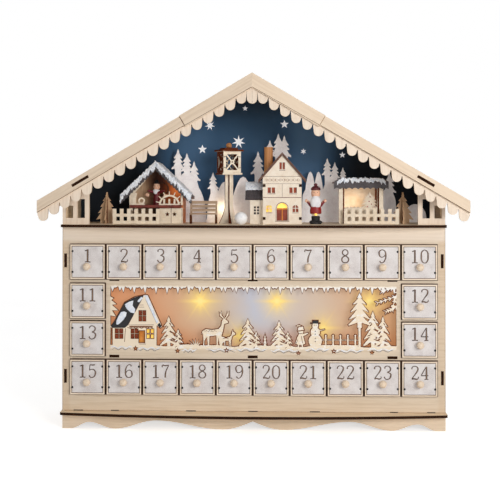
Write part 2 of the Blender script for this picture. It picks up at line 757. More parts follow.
def turned(profile: Sequence[Point2], centre: Point3, sides: int,
           tilt: Point3 = (0, 0, 0)) -> bpy.types.Object:
    """Turn a piece on a lathe.

    Args:
        profile: radius and height of each ring, from the foot up, in millimetres.
        centre: place of the foot's middle.
        sides: number of sides.
        tilt: turn in degrees of the whole about its foot.

    Returns:
        The turned piece.
    """
    deselect()
    least = 0.02
    bpy.ops.mesh.primitive_circle_add(vertices=sides, radius=max(profile[0][0], least), fill_type="NGON",
                                      location=(0, 0, 0))
    piece = bpy.context.object
    bpy.ops.object.mode_set(mode="EDIT")
    bpy.ops.mesh.select_all(action="SELECT")
    for (last_r, last_z), (r, z) in zip(profile, profile[1:]):
        bpy.ops.mesh.extrude_region_move(TRANSFORM_OT_translate={"value": (0, 0, z - last_z)})
        grow = max(r, least) / max(last_r, least)
        bpy.ops.transform.resize(value=(grow, grow, 1), center_override=(0, 0, z - profile[0][1]))
    bpy.ops.mesh.select_all(action="SELECT")
    bpy.ops.mesh.normals_make_consistent(inside=False)
    bpy.ops.object.mode_set(mode="OBJECT")
    piece.rotation_euler = [math.radians(a) for a in tilt]
    piece.scale = (MM,) * 3
    piece.location = at(*centre)
    bpy.ops.object.transform_apply(location=True, rotation=True, scale=True)
    bpy.ops.object.shade_smooth_by_angle(angle=math.radians(42))
    return piece


@dataclass(frozen=True)
class Stroke:
    """A drawn line: its points as place and height, and its width at each."""

    points: tuple[Point2, ...]
    widths: tuple[float, ...]

    def moved(self, x: float, z: float) -> "Stroke":
        """Give the same line at another place."""
        return Stroke(tuple((px + x, pz + z) for px, pz in self.points), self.widths)

    def thinned(self, cut: float) -> "Stroke":
        """Give the same line, narrower by a cut."""
        least = 0.12
        return Stroke(self.points, tuple(max(w - cut, least) for w in self.widths))


def line(points: Sequence[Point2], width: float) -> Stroke:
    """Give a line of even width."""
    return Stroke(tuple(points), (width,) * len(points))


def level_line(left: float, right: float, z: float, width: float) -> Stroke:
    """Give a line that runs level between two places."""
    return line([(left, z), (right, z)], width)


def upright_line(x: float, first: float, last: float, width: float) -> Stroke:
    """Give a line that stands upright between two heights."""
    return line([(x, first), (x, last)], width)


def arc(centre: Point2, radius: float, steps: int) -> list[Point2]:
    """Give points on a half circle that starts at the right and rises, with so many steps."""
    turns = [a * math.pi / steps for a in range(steps + 1)]
    return [(centre[0] + radius * math.cos(a), centre[1] + radius * math.sin(a)) for a in turns]


def drawn(strokes: Sequence[Stroke], front: float, proud: float, smooth: bool = True) -> bpy.types.Object:
    """Draw lines as low round ribs on an upright face.

    Args:
        strokes: the lines, in millimetres.
        front: where the face lies.
        proud: how far the ribs stand out of it.
        smooth: whether the lines are curves rather than straight runs.

    Returns:
        The ribs as one mesh.
    """
    deselect()
    bpy.ops.curve.primitive_bezier_curve_add(location=(0, 0, 0))
    curve = bpy.context.object
    curve.data.splines.clear()
    curve.data.dimensions = "3D"
    curve.data.bevel_depth = 0.5 * MM
    curve.data.bevel_resolution = 1
    curve.data.resolution_u = 3
    curve.data.use_fill_caps = True
    for stroke in strokes:
        spline = curve.data.splines.new("BEZIER")
        spline.bezier_points.add(len(stroke.points) - 1)
        for knot, (x, z), width in zip(spline.bezier_points, stroke.points, stroke.widths):
            knot.co = at(x, front, z)
            knot.radius = width
            knot.handle_left_type = knot.handle_right_type = "AUTO" if smooth else "VECTOR"
    bpy.ops.object.convert(target="MESH")
    ribs = bpy.context.object
    level = at(0, front, 0).y
    most = max(max(s.widths) for s in strokes) / 2
    for corner in ribs.data.vertices:
        corner.co.y = level + (corner.co.y - level) * proud / most
    return ribs


def joined(parts: Sequence[bpy.types.Object]) -> bpy.types.Object:
    """Join pieces, each part keeping a material number of its own."""
    deselect()
    for number, part in enumerate(parts):
        marks = part.data.attributes.new("part", "INT", "FACE")
        marks.data.foreach_set("value", [number] * len(part.data.polygons))
        part.data.materials.clear()
        part.select_set(True)
    whole = parts[0]
    bpy.context.view_layer.objects.active = whole
    if len(parts) > 1:
        bpy.ops.object.join()
    numbers = [mark.value for mark in whole.data.attributes["part"].data]
    whole.data.attributes.remove(whole.data.attributes["part"])
    for _ in parts:
        whole.data.materials.append(None)
    whole.data.polygons.foreach_set("material_index", numbers)
    return whole


def merged(parts: Sequence[bpy.types.Object]) -> bpy.types.Object:
    """Join pieces of one finish."""
    whole = joined(parts)
    for face in whole.data.polygons:
        face.material_index = 0
    whole.data.materials.clear()
    whole.data.materials.append(None)
    return whole


def swell(x: float, y: float, z: float) -> float:
    """Give the noise at a place, about nought."""
    return noise.noise(Vector((x, y, z)))


def rough_slab(corner: Callable[[float, float], Vector], lift: Point3, thick: float, cuts: tuple[int, int],
               bumps: float, seed: float) -> bpy.types.Object:
    """Heap a crumbly slab of snow on a patch of roof.

    Args:
        corner: gives a frame place from two shares, across and down.
        lift: the way up from the roof.
        thick: its thickness in millimetres.
        cuts: number of cuts each way.
        bumps: height of its lumps in millimetres.
        seed: sets the lumps.

    Returns:
        The slab, closed.
    """
    deselect()
    up = Vector(lift).normalized()
    bpy.ops.mesh.primitive_grid_add(x_subdivisions=cuts[0], y_subdivisions=cuts[1], size=2,
                                    location=(0, 0, 0))
    slab = bpy.context.object
    for vertex in slab.data.vertices:
        u, v = (vertex.co.x + 1) / 2, (vertex.co.y + 1) / 2
        base = corner(u, v)
        x, y, z = base / MM
        lump = swell(x * 0.42 + seed, y * 0.42, z * 0.42)
        fine = swell(x * 1.2, y * 1.2 + seed, z * 1.2)
        rim = max(abs(2 * u - 1), abs(2 * v - 1)) ** 10
        vertex.co = base + up * (thick * (1 - 0.55 * rim) + (lump + fine * 0.5) * bumps) * MM
    shell = slab.modifiers.new("shell", "SOLIDIFY")
    shell.thickness = thick * MM
    shell.offset = -1 if slab.data.polygons[0].normal.dot(up) > 0 else 1
    bpy.context.view_layer.objects.active = slab
    bpy.ops.object.modifier_apply(modifier=shell.name)
    bpy.ops.object.mode_set(mode="EDIT")
    bpy.ops.mesh.select_all(action="SELECT")
    bpy.ops.mesh.normals_make_consistent(inside=False)
    bpy.ops.object.mode_set(mode="OBJECT")
    bpy.ops.object.shade_smooth_by_angle(angle=math.radians(60))
    return slab


def ball(centre: Point3, radius: float, squash: Point3 = (1, 1, 1), bumps: float = 0.0,
         seed: float = 0.0) -> bpy.types.Object:
    """Shape a ball, squashed and lumpy as asked.

    Args:
        centre: its middle in millimetres.
        radius: its radius.
        squash: its size along each axis, as shares of the radius.
        bumps: height of its lumps.
        seed: sets the lumps.

    Returns:
        The ball.
    """
    deselect()
    bpy.ops.mesh.primitive_ico_sphere_add(subdivisions=3, radius=1, location=(0, 0, 0))
    piece = bpy.context.object
    for vertex in piece.data.vertices:
        way = vertex.co.normalized()
        coarse = noise.noise(way * 2.2 + Vector((seed, seed, 0)))
        fine = noise.noise(way * 5.5 + Vector((0, seed, seed)))
        reach = radius + (coarse + 0.5 * fine) * bumps
        vertex.co = at(*centre) + Vector([way[i] * reach * squash[i] * MM for i in range(3)])
    bpy.ops.object.shade_smooth_by_angle(angle=math.radians(60))
    return piece


def plate(outline: Sequence[Point2], front: float, depth: float) -> bpy.types.Object:
    """Cut a thin plate that faces the front and break its edges a little."""
    return chamfered(cut_board(outline, front, depth), 0.08, 1)


def star_outline(x: float, z: float, radius: float, points: int, waist: float) -> list[Point2]:
    """Give a star's corners, from the top round."""
    corners = []
    for i in range(2 * points):
        reach = radius * (waist if i % 2 else 1.0)
        turn = math.pi * i / points
        corners.append((x + reach * math.sin(turn), z + reach * math.cos(turn)))
    return corners


class Assembly:
    """A group of pieces that is coated first and then added to."""

    def dress(self) -> None:
        """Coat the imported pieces, where the group has any."""

    def build(self) -> None:
        """Make the group's own pieces."""


@dataclass
class Studio(Assembly):
    """A plain pale floor, soft lights, and the camera at the photograph's place.

    The eye's place is in millimetres from the panel's face and its turns are in degrees. Each of the
    lights has a name, a place in metres, a size, a power and a colour, and each bulb a place and a power.
    """

    eye: Point3 = (34.6, -1121.2, 275.9)
    yaw: float = 1.924
    pitch: float = -0.465
    lens: float = 72.05
    shift: float = -0.15
    world: float = 0.4
    floor_size: float = 9.0
    floor_back: float = 2.4
    floor_glow: float = 0.62
    lights: tuple[tuple[str, Point3, float, float, Point3], ...] = (
        ("key", (0.68, -1.25, 0.5), 0.5, 9.7, (1.0, 0.985, 0.965)),
        ("fill", (-0.3, -2.4, 0.35), 1.8, 4.7, (0.98, 0.985, 1.0)))
    bulbs: tuple[tuple[Point3, float], ...] = (
        ((-37.0, 46.0, 246.0), 0.007), ((33.0, 28.0, 252.0), 0.006),
        ((119.0, 50.0, 256.0), 0.003), ((-92.0, 54.0, 268.0), 0.003))

    def bulb(self, name: str, place: Point3, power: float) -> None:
        """Put a small warm lamp inside the stage, in millimetres from the panel's face."""
        data = bpy.data.lights.new(name, "POINT")
        data.energy = power
        data.color = (1.0, 0.78, 0.48)
        data.shadow_soft_size = 0.006
        lamp = bpy.data.objects.new(name, data)
        lamp.location = at(*place)
        bpy.context.scene.collection.objects.link(lamp)

    def light(self, name: str, place: Point3, size: float, power: float, warm: Point3) -> None:
        """Hang one large soft lamp that looks at the calendar."""
        data = bpy.data.lights.new(name, "AREA")
        data.size = size
        data.energy = power
        data.color = warm
        lamp = bpy.data.objects.new(name, data)
        lamp.location = place
        lamp.rotation_euler = (Vector((0, 0, 0.2)) - Vector(place)).to_track_quat("-Z", "Y").to_euler()
        bpy.context.scene.collection.objects.link(lamp)

    def floor(self) -> None:
        """Lay the floor, white to the camera but for the calendar's shadow."""
        deselect()
        bpy.ops.mesh.primitive_plane_add(size=self.floor_size, location=(0, self.floor_back, 0))
        ground = bpy.context.object
        ground.name = "studio_floor"
        graph = Graph("studio_floor")
        speck = graph.speckle(5.0, 2.0)
        graph.colour(graph.ramp(speck, (0.3, (240, 240, 240)), (0.7, (246, 246, 246))))
        graph.sheen(speck, 0.85, 0.95, 0.1)
        path = graph.add("ShaderNodeLightPath")
        seen = graph.most(path.outputs["Is Camera Ray"],
                          graph.most(path.outputs["Is Glossy Ray"], path.outputs["Is Transmission Ray"]))
        bare = graph.add("ShaderNodeEmission")
        bare.inputs["Color"].default_value = (1, 1, 1, 1)
        graph.feed(bare.inputs["Strength"], graph.times(seen, self.floor_glow))
        both = graph.add("ShaderNodeAddShader")
        graph.feed(both.inputs[0], graph.shader.outputs[0])
        graph.feed(both.inputs[1], bare.outputs[0])
        graph.feed(graph.tree.nodes["Material Output"].inputs["Surface"], both.outputs[0])
        ground.data.materials.append(graph.material)

    def sky(self) -> None:
        """Set the world: white to the camera, a plain level on the calendar."""
        world = bpy.data.worlds.new("studio")
        bpy.context.scene.world = world
        world.use_nodes = True
        tree = world.node_tree
        back = tree.nodes["Background"]
        back.inputs["Color"].default_value = (1, 1, 1, 1)
        path = tree.nodes.new("ShaderNodeLightPath")
        seen = tree.nodes.new("ShaderNodeMath")
        seen.operation = "MAXIMUM"
        tree.links.new(path.outputs["Is Camera Ray"], seen.inputs[0])
        tree.links.new(path.outputs["Is Glossy Ray"], seen.inputs[1])
        level = tree.nodes.new("ShaderNodeMapRange")
        level.inputs["To Min"].default_value = self.world
        level.inputs["To Max"].default_value = 1.0
        tree.links.new(seen.outputs[0], level.inputs["Value"])
        tree.links.new(level.outputs["Result"], back.inputs["Strength"])

    def camera(self) -> None:
        """Stand the camera where the photograph was taken from."""
        data = bpy.data.cameras.new("camera")
        data.lens = self.lens
        data.sensor_width = 36
        data.shift_y = self.shift
        data.clip_end = 50
        camera = bpy.data.objects.new("camera", data)
        camera.location = at(*self.eye)
        camera.rotation_euler = (math.radians(90 - self.pitch), 0, math.radians(self.yaw))
        bpy.context.scene.collection.objects.link(camera)
        bpy.context.scene.camera = camera

    def build(self) -> None:
        """Set up the studio."""
        bpy.context.scene.view_settings.view_transform = "Standard"
        self.camera()
        self.sky()
        self.floor()
        for light in self.lights:
            self.light(*light)
        for index, (place, power) in enumerate(self.bulbs):
            self.bulb(f"bulb_{index}", place, power)


@dataclass
class Carcass(Assembly):
    """Boards of the cabinet, its base and the things inside it.

    The foot's tabs are given by middle and half width, and plain boards by finish and the axis through
    their thickness.
    """

    face: float = 0.0
    foot: float = 19.8
    half: float = 213.0
    foot_tabs: tuple[Point2, ...] = (
        (-196.3, 5.3), (-155.0, 4.4), (-69.3, 5.5), (0.2, 5.2), (69.4, 5.6), (157.4, 4.4), (198.6, 4.6))
    plain: dict[str, tuple[Coat, int]] = field(default_factory=lambda: {
        "base_plate": (Coat.BASE_PLY, 2), "stage_floor": (Coat.PALE_PLY, 2),
        "back_panel": (Coat.TAN_PLY, 1), "light_board": (Coat.INNER_PLY, 1)})

    def dress(self) -> None:
        """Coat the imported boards."""
        for node, (coat, axis) in self.plain.items():
            dress(node, [coat, Coat.CHAR], faces_and_edges(axis))
        dress("side_panels", [Coat.TAN_DEEP, Coat.BURNT, Coat.CHAR],
              lambda m, n, c: 2 if n.y < -FACING and m.y < 2 else int(max(abs(n.x), abs(n.y)) <= FACING))
        dress("plinth_boards", [Coat.APRON, Coat.BURNT], lambda m, n, c: int(abs(n.z) > 0.25 and m.z < 16))
        dress("front_panel", [Coat.PANEL, Coat.BURNT, Coat.INNER_PLY],
              lambda m, n, c: 0 if n.y < -FACING else 2 if n.y > FACING else 1)
        dress("inner_shelves", [Coat.INNER_PLY, Coat.CHAR],
              lambda m, n, c: int(m.y < 0.05 and n.y < -FACING))
        dress("inner_partitions", [Coat.INNER_PLY, Coat.BURNT], lambda m, n, c: int(n.y < -FACING))
        dress("printed_screen", [Coat.SCREEN])
        dress("battery_box", [Coat.GREY_PLASTIC])
        dress("battery_lid", [Coat.GREY_PLASTIC])
        dress("battery_cells", [Coat.CELL])
        dress("switch_slider", [Coat.BLACK_PLASTIC])
        dress("led_string", [Coat.LAMP])

    def build(self) -> None:
        """Draw the seam at the front panel's foot, with the dark ends of the tabs in the base."""
        y, z = self.face, self.foot
        strips = [block((x - half, y - 0.16, z + 0.25), (x + half, y + 0.1, z + 1.25), 0.06)
                  for x, half in self.foot_tabs]
        fixed(merged(strips), "foot_tabs", "burnt_edge_ply", Coat.CHAR)
        seam = drawn([level_line(-self.half, self.half, z + 0.5, 0.5)], y, 0.1, False)
        fixed(seam, "foot_seam", "burnt_edge_ply", Coat.SEAM)


@dataclass
class DrawerBank(Assembly):
    """Twenty-four drawers with printed fronts, numbers and knobs.

    The digits' top and the dots' places are over the foot of a drawer's front. The gap is the step
    between two digits.
    """

    count: int = 24
    face: float = -3.3
    digit_h: float = 15.0
    digit_top: float = 33.8
    squat: float = 0.98
    gap: float = 11.0
    dot_r: float = 1.25
    dots: tuple[Point2, ...] = ((-16.95, 8.2), (16.95, 8.2), (-16.95, 31.5), (16.95, 31.5))
    digits: dict[str, tuple[Stroke, ...]] = field(default_factory=dict)

    def __post_init__(self) -> None:
        """Draw the ten digits on a grid of 9 by 15 millimetres about their middle."""
        thin, thick = 0.95, 1.9

        def curve(*points: Point3) -> Stroke:
            return Stroke(tuple((x, z * self.squat) for x, z, _ in points),
                          tuple(w * 1.06 for _, _, w in points))

        self.digits = {
            "0": (curve((0, 15, thin), (-2.9, 13, 1.5), (-3.7, 7.5, thick), (-2.9, 2, 1.5), (0, 0, thin),
                        (2.9, 2, 1.5), (3.7, 7.5, thick), (2.9, 13, 1.5), (0, 15, thin)),),
            "1": (curve((0.2, 0.4, thick), (0.2, 7.5, thick), (0.2, 14.6, thick)),
                  curve((0.2, 14.6, 1.2), (-1.2, 13.5, 1.1), (-2.9, 13.0, 1.3)),
                  curve((-3.0, 0.2, 1.3), (0.2, 0.4, 1.0), (3.4, 0.2, 1.3))),
            "2": (curve((-3.3, 11.6, 1.7), (-3.0, 13.7, 1.2), (0, 15, thin), (3.0, 13.4, 1.6),
                        (3.1, 10.4, thick), (0.6, 6.2, 1.3), (-3.4, 0.8, thin)),
                  curve((-3.4, 0.4, 1.5), (-1.0, 0.9, 1.7), (1.8, 0.3, 1.6), (3.7, 1.2, 1.0),
                        (3.9, 3.2, thin))),
            "3": (curve((-3.2, 12.2, 1.7), (-2.4, 14.3, 1.1), (0.2, 15, thin), (3.0, 13.2, 1.6),
                        (2.8, 9.8, 1.6), (-0.4, 8.0, thin)),
                  curve((-0.4, 8.0, thin), (3.2, 6.4, 1.6), (3.5, 3.2, thick), (1.2, 0.3, 1.1),
                        (-2.0, 0.3, 1.1), (-3.6, 2.8, 1.7))),
            "4": (curve((1.8, 0.4, thick), (1.8, 7.5, thick), (1.8, 14.6, 1.5)),
                  curve((1.6, 14.6, thin), (-1.2, 9.8, 1.1), (-4.1, 4.6, 1.1)),
                  curve((-4.1, 4.4, 1.1), (0.0, 4.4, 1.1), (4.0, 4.4, 1.1)),
                  curve((-0.4, 0.2, 1.1), (1.8, 0.3, 1.0), (4.0, 0.2, 1.1))),
            "5": (curve((3.2, 14.6, 1.4), (0.4, 14.2, 1.4), (-2.5, 14.6, 1.2)),
                  curve((-2.5, 14.6, thin), (-2.7, 11.4, thin), (-3.0, 8.0, 1.1)),
                  curve((-3.0, 8.2, thin), (0.2, 9.4, 1.1), (3.1, 7.6, 1.6), (3.6, 4.2, thick),
                        (1.6, 0.6, 1.2), (-1.6, 0.2, 1.0), (-3.6, 2.4, 1.6))),
            "6": (curve((2.9, 12.9, 1.6), (1.9, 14.6, 1.1), (-0.4, 14.6, thin), (-3.0, 11.2, 1.5),
                        (-3.7, 6.0, thick), (-2.6, 1.5, 1.5), (0.3, 0.2, thin), (3.2, 1.9, 1.5),
                        (3.5, 5.2, thick), (1.9, 8.3, 1.1), (-0.9, 8.2, thin), (-3.3, 5.6, 1.0)),),
            "7": (curve((-3.7, 12.1, 1.2), (-3.3, 14.4, 1.4), (-0.6, 14.0, 1.5), (2.0, 14.2, 1.4),
                        (3.8, 14.6, 1.1)),
                  curve((3.7, 14.4, 1.0), (1.4, 9.8, 1.3), (0.0, 5.2, 1.8), (-0.3, 0.4, thick))),
            "8": (curve((0, 8.1, 1.1), (-2.8, 10.2, 1.5), (-2.6, 13.4, 1.4), (0, 15, thin),
                        (2.6, 13.4, 1.4), (2.8, 10.2, 1.4), (0, 8.1, 1.4), (-3.4, 5.4, 1.6),
                        (-3.2, 1.7, 1.5), (0, 0.1, thin), (3.2, 1.7, 1.5), (3.4, 5.4, 1.6),
                        (0, 8.1, 1.1)),),
            "9": (curve((-2.9, 2.2, 1.6), (-1.9, 0.5, 1.1), (0.4, 0.4, thin), (3.0, 3.8, 1.5),
                        (3.7, 9.0, thick), (2.6, 13.5, 1.5), (-0.3, 14.9, thin), (-3.2, 13.1, 1.5),
                        (-3.5, 9.9, thick), (-1.9, 6.8, 1.1), (0.9, 6.8, thin), (3.3, 9.2, 1.0)),),
        }

    def place_of(self, number: int) -> Point2:
        """Give the middle and foot of a drawer's front."""
        if number <= 10:
            column, row = number - 1, 3
        elif number >= 15:
            column, row = number - 15, 0
        else:
            column, row = (0 if number % 2 else 9), (2 if number <= 12 else 1)
        return (column - 4.5) * PITCH, FEET[row]

    def number(self, number: int) -> bpy.types.Object:
        """Draw a drawer's number with a dark line round a paler fill, and its four dots.

        Args:
            number: the drawer's number.

        Returns:
            The drawn piece, riding with its drawer.
        """
        x, foot = self.place_of(number)
        text = str(number)
        strokes: list[Stroke] = []
        for i, character in enumerate(text):
            middle = x + (i - (len(text) - 1) / 2) * self.gap
            base = foot + self.digit_top - self.digit_h * self.squat
            strokes += [s.moved(middle, base) for s in self.digits[character]]
        outer = drawn(strokes, self.face, 0.1)
        inner = drawn([s.thinned(1.05) for s in strokes if max(s.widths) > 1.4], self.face - 0.06, 0.1)
        dots = [turned([(self.dot_r, 0), (self.dot_r, 0.1), (self.dot_r * 0.7, 0.18)],
                       (x + dx, self.face, foot + dz), 12, (90, 0, 0)) for dx, dz in self.dots]
        piece = joined([outer, inner, merged(dots)])
        name = f"drawer_{number:02d}"
        return finished(piece, f"{name}_number", [Coat.INK, Coat.INK_FILL, Coat.BLACK], f"{name}_box")

    def dress(self) -> None:
        """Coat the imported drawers: printed front, scorched edges, plain box and turned knob."""

        def choose(middle: Vector, normal: Vector, corners: list[Vector]) -> int:
            if middle.y < self.face - 0.06:
                return 3
            if middle.y > -0.25:
                return 2
            return 0 if normal.y < -FACING else 1

        for number in range(1, self.count + 1):
            dress(f"drawer_{number:02d}", [Coat.DRAWER, Coat.BURNT, Coat.INNER_PLY, Coat.KNOB], choose)

    def build(self) -> None:
        """Make the numbers."""
        for number in range(1, self.count + 1):
            self.number(number)


@dataclass
class PictureWindow(Assembly):
    """The cut picture: dark outlines, cottage, panes, snow lines and small drawn marks.

    The cottage is given by width and height, its glass by front and back, the firs by place, tip and
    width as shares of the picture, and the waves by their two ends and height.
    """

    half: float = 159.9
    foot: float = 90.9
    height: float = 69.5
    cottage: Point2 = (54.0, 60.0)
    face: float = 0.0
    glass: Point2 = (3.1, 3.6)
    firs: tuple[Point3, ...] = (
        (0.205, 0.518, 0.066), (0.238, 0.308, 0.045), (0.483, 0.485, 0.066), (0.512, 0.28, 0.042),
        (0.592, 0.453, 0.064), (0.623, 0.276, 0.042), (0.919, 0.614, 0.072), (0.954, 0.534, 0.06))
    waves: tuple[Point3, ...] = (
        (-158, -137, 89.6), (-128, -105, 88.6), (-78, -65, 86.8), (-50, -20, 87.4), (-16, 14, 88.2),
        (22, 50, 87.0), (60, 84, 88.4), (92, 122, 87.2), (130, 157, 88.6))

    def across(self, share: float) -> float:
        """Give a place across the picture."""
        return (2 * share - 1) * self.half

    def on_cottage(self, shares: Sequence[Point2]) -> list[Point2]:
        """Give places on the cottage from shares of its width and height."""
        return [(-self.half + u * self.cottage[0], self.foot + v * self.cottage[1]) for u, v in shares]

    def outlines(self) -> bpy.types.Object:
        """Trace the scorched rim of every cut edge of the picture."""
        deselect()
        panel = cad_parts["front_panel"]
        rims = panel.copy()
        rims.data = panel.data.copy()
        rims.parent = None
        for key in list(rims.keys()):
            del rims[key]
        bpy.context.scene.collection.objects.link(rims)
        bpy.context.view_layer.objects.active = rims
        rims.select_set(True)
        low = at(-self.half - 0.2, 0, self.foot - 6)
        high = at(self.half + 0.2, 0, self.foot + self.height + 0.4)
        bpy.ops.object.mode_set(mode="EDIT")
        bpy.ops.mesh.select_all(action="DESELECT")
        bpy.ops.object.mode_set(mode="OBJECT")
        for face in rims.data.polygons:
            face.select = face.normal.y >= -FACING
        bpy.ops.object.mode_set(mode="EDIT")
        bpy.ops.mesh.select_mode(type="FACE")
        bpy.ops.mesh.delete(type="FACE")
        bpy.ops.mesh.select_all(action="SELECT")
        bpy.ops.mesh.remove_doubles(threshold=0.00001)
        bpy.ops.mesh.region_to_loop()
        bpy.ops.mesh.select_all(action="INVERT")
        bpy.ops.object.mode_set(mode="OBJECT")
        rim_edges = [tuple(e.vertices) for e in rims.data.edges if not e.select]
        places = [v.co.copy() for v in rims.data.vertices]
        keep = [(a, b) for a, b in rim_edges
                if all(low.x < places[i].x < high.x and low.z < places[i].z < high.z for i in (a, b))]
        rims.data = bpy.data.meshes.new("rims")
        rims.data.from_pydata(places, keep, [])
        bpy.ops.object.mode_set(mode="EDIT")
        bpy.ops.mesh.select_all(action="SELECT")
        bpy.ops.mesh.delete_loose(use_verts=True, use_edges=False, use_faces=False)
        bpy.ops.object.mode_set(mode="OBJECT")
        bpy.ops.object.convert(target="CURVE")
        rims = bpy.context.object
        rims.data.dimensions = "3D"
        rims.data.bevel_depth = 0.65 * MM
        rims.data.bevel_resolution = 1
        rims.data.use_fill_caps = True
        bpy.ops.object.convert(target="MESH")
        rims = bpy.context.object
        level = at(0, self.face, 0).y
        for vertex in rims.data.vertices:
            vertex.co.y = level + (vertex.co.y - level) * 0.3
        fixed(rims, "picture_outlines", "burnt_edge_ply", Coat.RIM)

    def cottage_parts(self) -> None:
        """Paint the cottage's roof, its snow, its panes and its door."""
        black = (
            ((0.005, 0.41), (0.08, 0.5), (0.17, 0.645), (0.285, 0.84), (0.5, 0.945), (0.69, 0.985),
             (0.668, 0.93), (0.56, 0.76), (0.47, 0.6), (0.36, 0.42), (0.3, 0.372), (0.03, 0.37)),
            ((0.975, 0.43), (1.02, 0.47), (1.065, 0.41), (1.03, 0.37)))
        roof = [plate(self.on_cottage(patch), self.face - 0.22, 0.24) for patch in black]
        fixed(merged(roof), "cottage_roof", "shingle_paint", Coat.BLACK)
        white = (
            ((0.3, 0.815), (0.385, 0.86), (0.475, 0.885), (0.46, 0.79), (0.515, 0.72), (0.5, 0.645),
             (0.42, 0.66), (0.35, 0.715), (0.31, 0.77)),
            ((0.115, 0.44), (0.12, 0.5), (0.16, 0.58), (0.215, 0.665), (0.28, 0.68), (0.335, 0.66),
             (0.32, 0.59), (0.265, 0.52), (0.19, 0.455), (0.15, 0.43)),
            ((0.56, 0.865), (0.58, 0.9), (0.64, 0.955), (0.68, 0.93), (0.64, 0.895), (0.6, 0.85)),
            ((0.715, 0.985), (0.765, 0.97), (0.8, 0.93), (0.87, 0.76), (0.96, 0.56), (1.0, 0.49),
             (0.965, 0.455), (0.9, 0.58), (0.82, 0.74), (0.735, 0.9)))
        snow = [plate(self.on_cottage(patch), self.face - 0.42, 0.44) for patch in white]
        fixed(merged(snow), "cottage_snow", "white_paint", Coat.PRINT_SNOW)
        panes = []
        lap = 0.3
        openings = ((0.094, 0.173, 0.163, 0.182), (0.426, 0.173, 0.148, 0.182), (0.59, 0.5, 0.146, 0.197),
                    (0.754, 0.173, 0.15, 0.182), (0.585, 0.09, 0.136, 0.235))
        for u, v, width, height in openings:
            x, z = self.on_cottage([(u, v)])[0]
            right, top = x + width * self.cottage[0] + lap, z + height * self.cottage[1] + lap
            panes.append(block((x - lap, self.glass[0], z - lap), (right, self.glass[1], top), 0.1))
        fixed(joined([merged(panes[:3]), *panes[3:]]), "cottage_panes", "brown_stain", Coat.PANE, Coat.LIT,
              Coat.DOOR)

    def wave(self, ends: Point2, z: float, phase: float, widths: Sequence[float]) -> Stroke:
        """Give a wavy line over the ground.

        Args:
            ends: its two ends across.
            z: its height.
            phase: where its waves start.
            widths: its width at each point.

        Returns:
            The line.
        """
        low, high = ends
        steps = len(widths) - 1
        return Stroke(tuple((low + (high - low) * i / steps, z + 1.1 * math.sin(i * 1.9 + phase))
                            for i in range(steps + 1)), tuple(widths))

    def ground(self) -> None:
        """Draw the grey and the white snow lines along the ground."""
        inner = range(8)
        grey = [self.wave((low, high), z, low, (0.4, *(0.75 for _ in inner), 0.4))
                for low, high, z in self.waves]
        fixed(drawn(grey, self.face, 0.14), "ground_waves", "printed_front", Coat.GREY_LINE)
        white = [self.wave((low - 2, high + 2), z + 1.7, low,
                           (0.6, *(1.6 + 0.7 * math.sin(i * 2.6 + high) for i in inner), 0.6))
                 for low, high, z in self.waves]
        fixed(drawn(white, self.face, 0.1), "ground_snow", "white_paint", Coat.WHITE)

    def fir_marks(self) -> list[Stroke]:
        """Give the burnt strokes on the firs' branches."""
        marks = []
        for share, tip, width in self.firs:
            x, w, h = self.across(share), 2 * self.half * width, self.height * tip
            for i in range(5):
                side = (-1) ** i
                z = self.foot + h * (0.24 + 0.13 * i)
                reach = w * (0.3 - 0.045 * i)
                marks.append(Stroke(((x + side * w * 0.03, z + 0.9), (x + side * reach * 0.6, z - 0.4),
                                     (x + side * reach * 1.1, z - 1.6)), (0.6, 1.4, 0.5)))
                marks.append(Stroke(((x - side * w * 0.1, z - 3.0), (x - side * reach * 0.5, z - 3.6),
                                     (x - side * reach * 0.8, z - 4.6)), (0.4, 0.9, 0.4)))
        return marks

    def figure_marks(self) -> list[Stroke]:
        """Give the deer's spots and the lines on the fawn and the child."""
        deer, fawn, child = [self.across(share) for share in (0.319, 0.388, 0.667)]
        marks = []
        for i in range(8):
            x, z = deer + 4.2 + 1.75 * i, self.foot + 19.6 + 0.5 * math.sin(i * 2.3)
            marks.append(line([(x, z), (x + 0.55, z - 1.0)], 0.8))
        back = tuple((fawn + x, self.foot + z) for x, z in ((2.5, 10.6), (5.5, 11.6), (9, 10.2)))
        marks.append(Stroke(back, (0.6, 1.1, 0.6)))
        folds = (((-4, 19.6), (3.6, 20.4), 1.1), ((-2.5, 17), (2, 16.6), 0.8), ((-3, 10), (-4.6, 6), 0.7),
                 ((1, 14), (2.4, 6), 0.7), ((-3, 24.4), (2, 25.0), 1.2))
        for (x0, z0), (x1, z1), width in folds:
            marks.append(line([(child + x0, self.foot + z0), (child + x1, self.foot + z1)], width))
        return marks

